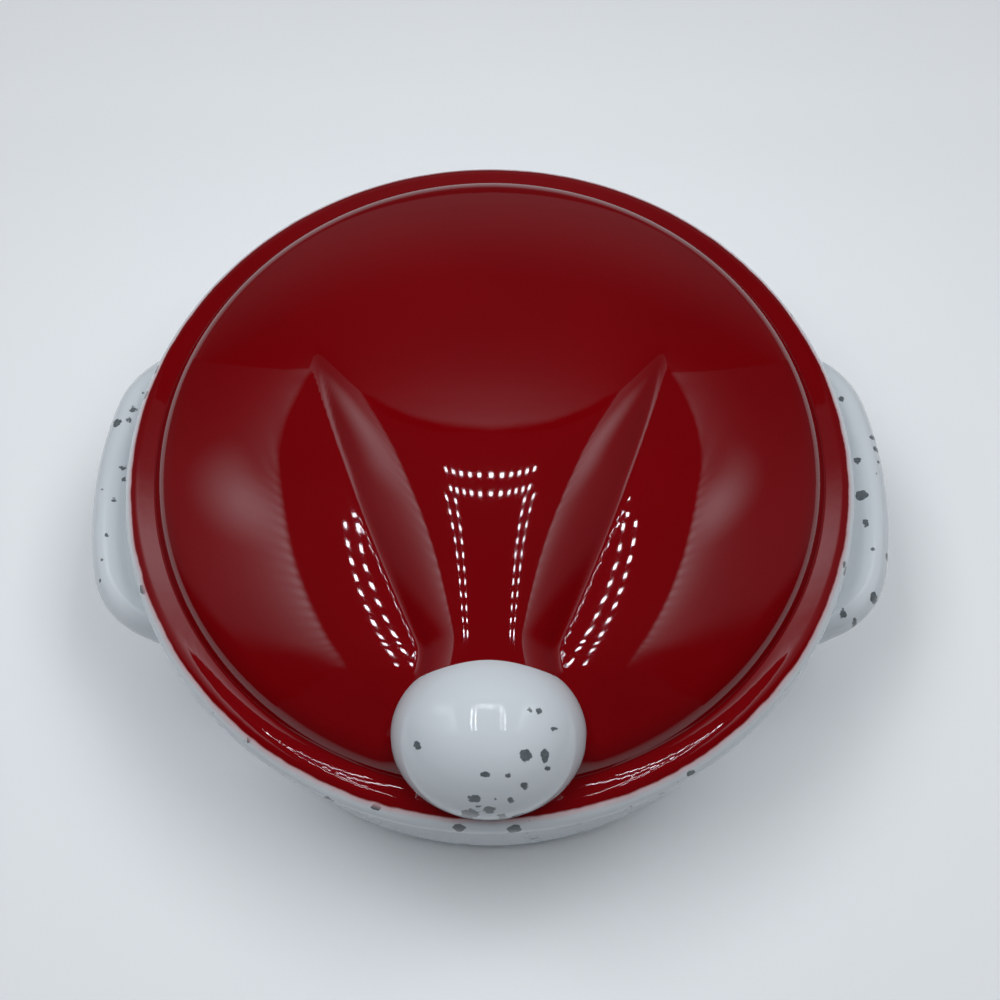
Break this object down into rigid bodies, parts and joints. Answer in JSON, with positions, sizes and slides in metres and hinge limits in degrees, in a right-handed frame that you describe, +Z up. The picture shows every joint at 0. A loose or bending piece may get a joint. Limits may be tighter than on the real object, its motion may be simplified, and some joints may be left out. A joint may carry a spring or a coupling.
{
  "type": "lidded mini casserole dish",
  "caption": "Round stoneware casserole dish with lug handles and a lift-off domed lid shaped as a hat, its folded tip ending in a pompom.",
  "frame": {"origin": "centre of the foot ring on the table, under the middle of the dish", "axes": "+Z up, -Y towards the pompom at the front, +X towards the right handle"},
  "size_m": [0.158, 0.138, 0.0711],
  "materials": {
    "white_glaze": "gloss",
    "red_glaze": "gloss",
    "pompom_glaze": "gloss"
  },
  "bodies": {
    "dish": {"dish_bowl": "white_glaze", "left_handle": "white_glaze", "right_handle": "white_glaze"},
    "lid": {"lid_shell": "red_glaze", "pompom_knob": "pompom_glaze"}
  },
  "joints": [
    {"name": "lid_lift", "type": "slide", "parent": "dish", "child": "lid", "axis": [0, 0, 1], "range_m": [0, 0.1]}
  ]
}
